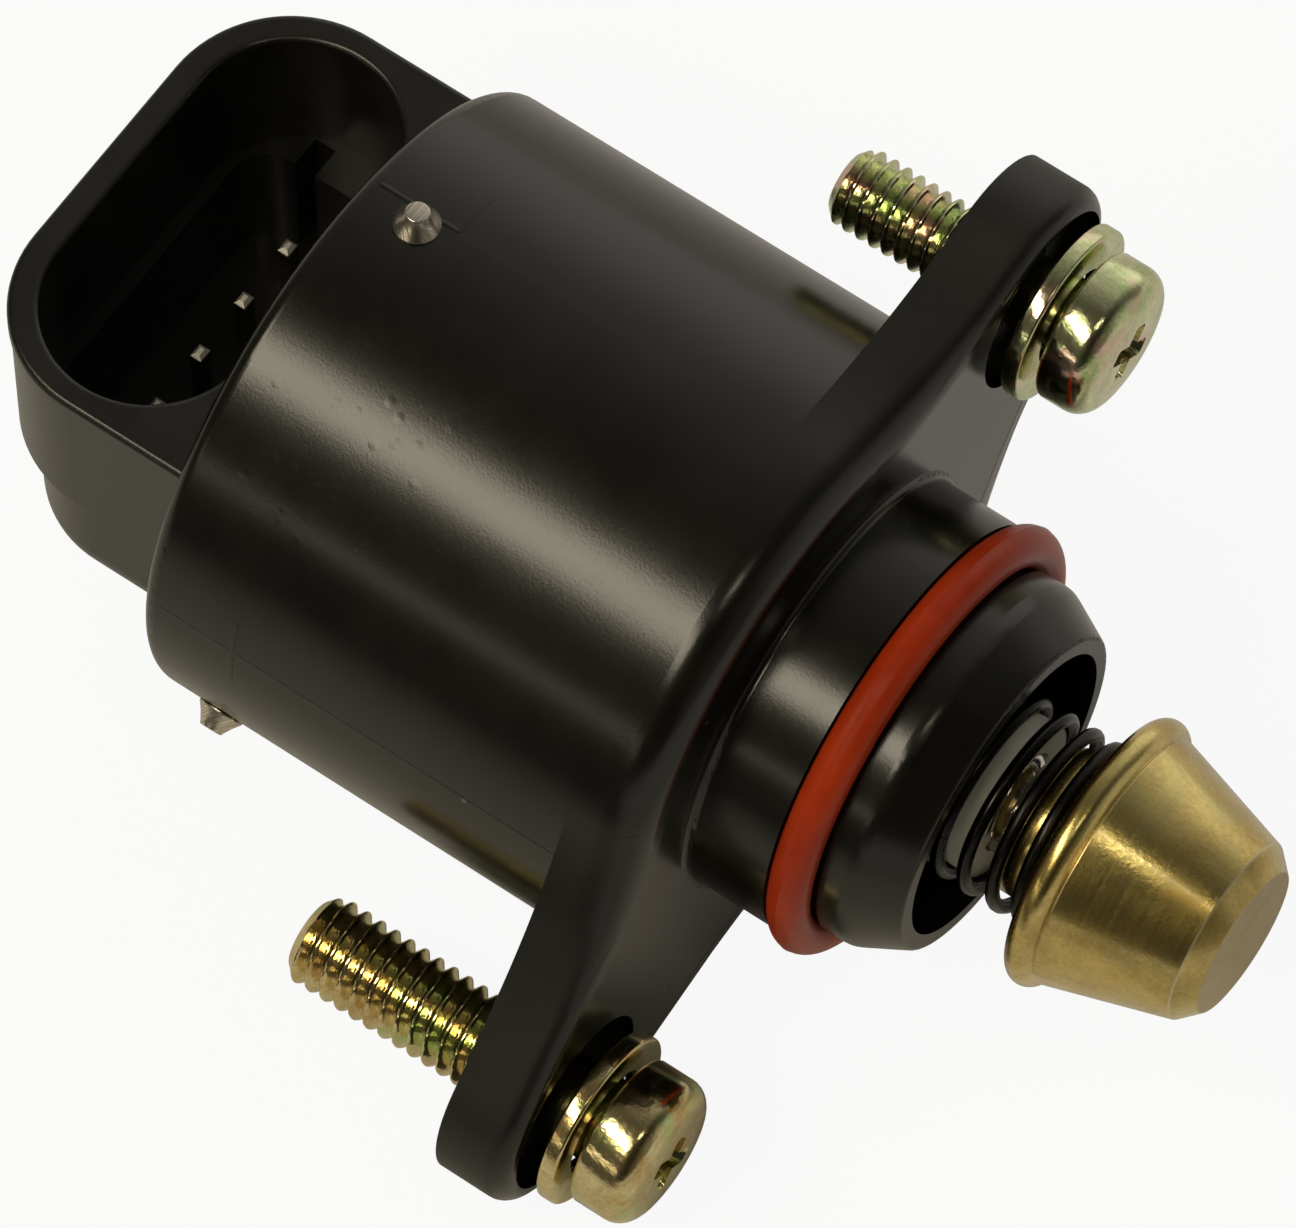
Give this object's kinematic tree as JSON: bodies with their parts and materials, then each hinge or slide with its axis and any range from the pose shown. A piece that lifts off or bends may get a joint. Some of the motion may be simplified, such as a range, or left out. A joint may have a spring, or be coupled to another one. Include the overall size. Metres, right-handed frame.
{
  "type": "idle air control valve",
  "caption": "Throttle-body idle air control valve: stepper motor in a moulded housing with two-ear flange, O-ring nose, spring-loaded conical pintle and plug-in socket.",
  "frame": {"origin": "the middle of the flange face that seats on the throttle body, on the valve's main axis", "axes": "X along the main axis from the motor to the pintle, Z the way the connector socket opens, Y across the socket"},
  "size_m": [0.0661, 0.0502, 0.0352],
  "materials": {
    "body_plastic": "black glass-filled moulding, satin to gloss",
    "cap_plastic": "black moulding, satin",
    "terminal_metal": "tin-plated brass",
    "pin_metal": "bright drawn wire",
    "stator_steel": "pressed low-carbon steel, plated",
    "bobbin_plastic": "black moulding",
    "copper_wire": "enamelled copper wire",
    "ferrite": "sintered ferrite, ground",
    "nut_plastic": "natural moulding",
    "bearing_steel": "ground steel",
    "bush_bronze": "sintered bronze",
    "guide_plastic": "light grey moulding",
    "screw_steel": "rolled thread, bright",
    "pintle_gold": "turned steel, yellow chromate",
    "spring_steel": "black oiled spring wire",
    "silicone": "red-orange silicone",
    "fastener_zinc": "zinc plate, faint yellow-green chromate",
    "fastener_gold": "zinc plate, yellow chromate"
  },
  "bodies": {
    "body": {"housing": "body_plastic", "connector_cap": "cap_plastic", "terminal_1": "terminal_metal", "terminal_2": "terminal_metal", "terminal_3": "terminal_metal", "terminal_4": "terminal_metal", "retaining_pin_1": "pin_metal", "retaining_pin_2": "pin_metal", "retaining_pin_3": "pin_metal", "stator_cup_front": "stator_steel", "stator_cup_rear": "stator_steel", "pole_plate_front": "stator_steel", "pole_plate_rear": "stator_steel", "coil_bobbin_front": "bobbin_plastic", "coil_bobbin_rear": "bobbin_plastic", "coil_winding_front": "copper_wire", "coil_winding_rear": "copper_wire", "front_bearing": "bearing_steel", "rear_bush": "bush_bronze", "shaft_guide": "guide_plastic", "pintle_spring": "spring_steel", "o_ring": "silicone", "screw_upper": "fastener_zinc", "screw_lower": "fastener_gold", "washer_upper": "fastener_zinc", "washer_lower": "fastener_gold"},
    "rotor": {"rotor_magnet": "ferrite", "rotor_nut": "nut_plastic"},
    "pintle": {"lead_screw": "screw_steel", "pintle": "pintle_gold"}
  },
  "joints": [
    {"name": "rotor_spin", "type": "hinge", "parent": "body", "child": "rotor", "pos_m": [-0.012, 0, 0], "axis": [1, 0, 0], "range_deg": [-2700, 360]},
    {"name": "pintle_slide", "type": "slide", "parent": "body", "child": "pintle", "axis": [1, 0, 0], "range_m": [-0.00101, 0.00751], "deforming": ["pintle_spring"]}
  ],
  "couplings": [
    {"joint": "pintle_slide", "follows": "rotor_spin", "m_per_rad": -0.00015915}
  ]
}
